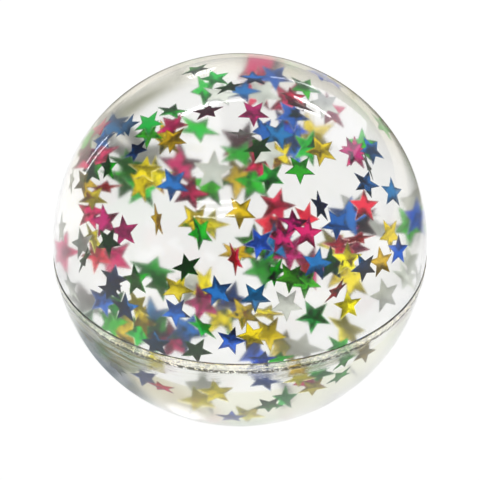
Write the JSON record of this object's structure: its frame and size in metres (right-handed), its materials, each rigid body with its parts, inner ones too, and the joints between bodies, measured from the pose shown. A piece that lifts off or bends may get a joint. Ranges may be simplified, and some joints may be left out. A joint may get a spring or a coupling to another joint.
{
  "type": "bouncy ball",
  "caption": "Clear solid rubber bouncy ball with coloured metallic foil stars sealed inside and a rough trimmed parting band around its middle.",
  "frame": {"origin": "centre of the ball, which is the middle of the parting plane between its two clear halves", "axes": "+Z square to the parting plane, through the crown of the upper half; X and Y lie in the parting plane, and the picture looks along +Y from above the plane"},
  "size_m": [0.0452, 0.0452, 0.045],
  "materials": {
    "clear_rubber": "clear, glossy, faintly cream",
    "blue_foil": "metallised film",
    "green_foil": "metallised film",
    "red_foil": "metallised film",
    "gold_foil": "metallised film",
    "silver_foil": "metallised film"
  },
  "bodies": {
    "root": {"upper_half": "clear_rubber", "lower_half": "clear_rubber", "upper_blue_stars": "blue_foil", "upper_green_stars": "green_foil", "upper_red_stars": "red_foil", "upper_gold_stars": "gold_foil", "upper_silver_stars": "silver_foil", "lower_blue_stars": "blue_foil", "lower_green_stars": "green_foil", "lower_red_stars": "red_foil", "lower_gold_stars": "gold_foil", "lower_silver_stars": "silver_foil"}
  },
  "joints": []
}
